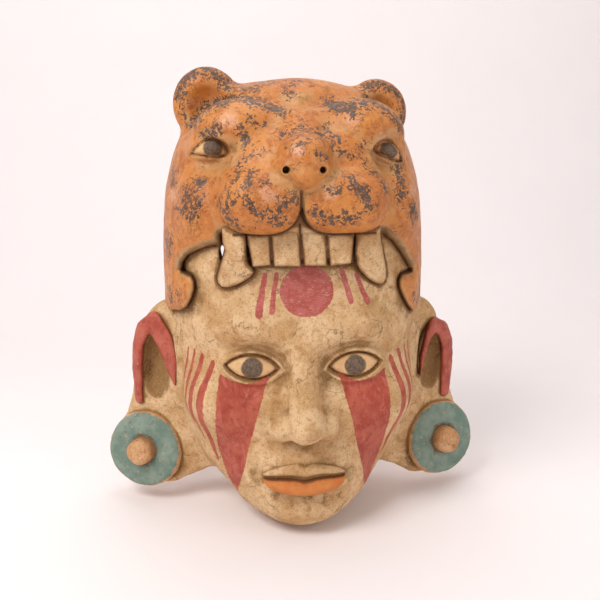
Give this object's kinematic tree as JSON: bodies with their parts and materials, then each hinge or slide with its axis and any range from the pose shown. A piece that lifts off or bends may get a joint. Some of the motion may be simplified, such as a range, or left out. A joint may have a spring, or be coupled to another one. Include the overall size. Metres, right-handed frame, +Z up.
{
  "type": "wall mask",
  "caption": "Hollow fired-clay wall mask: a calm painted human face with ear spools, looking out of the open jaws of a big-cat helmet.",
  "frame": {"origin": "bottom centre of the mask's bounding box", "axes": "+X to the viewer's right, -Y out of the face, +Z up; the open back faces +Y"},
  "size_m": [0.1808, 0.0811, 0.204],
  "materials": {
    "buff_clay": "matt, gritty low-fired buff clay with brown stain in the hollows",
    "cat_slip": "burnished orange slip, dry-brushed with broken dark patches",
    "red_paint": "clay painted a worn brick red, slightly burnished",
    "blue_green_paint": "clay painted a chipped grey blue-green, matt",
    "orange_lip": "clay painted orange-brown, worn",
    "eye_paint": "clay pad painted with a dark grey-brown iris"
  },
  "bodies": {
    "mask": {"face_shell": "buff_clay", "eye_left": "eye_paint", "eye_right": "eye_paint", "upper_lip": "buff_clay", "lower_lip": "orange_lip", "ear_left": "red_paint", "ear_right": "red_paint", "ear_lobe_left": "buff_clay", "ear_lobe_right": "buff_clay", "ear_spool_left": "blue_green_paint", "ear_spool_right": "blue_green_paint", "spool_boss_left": "buff_clay", "spool_boss_right": "buff_clay", "cat_helmet": "cat_slip", "cat_ear_left": "cat_slip", "cat_ear_right": "cat_slip", "cat_eye_left": "eye_paint", "cat_eye_right": "eye_paint", "cat_nose": "cat_slip", "muzzle_pad_left": "cat_slip", "muzzle_pad_right": "cat_slip", "gum_strip": "buff_clay", "front_tooth_1": "buff_clay", "front_tooth_2": "buff_clay", "front_tooth_3": "buff_clay", "front_tooth_4": "buff_clay", "fang_left": "buff_clay", "fang_right": "buff_clay", "jaw_flap_left": "cat_slip", "jaw_flap_right": "cat_slip"}
  },
  "joints": []
}
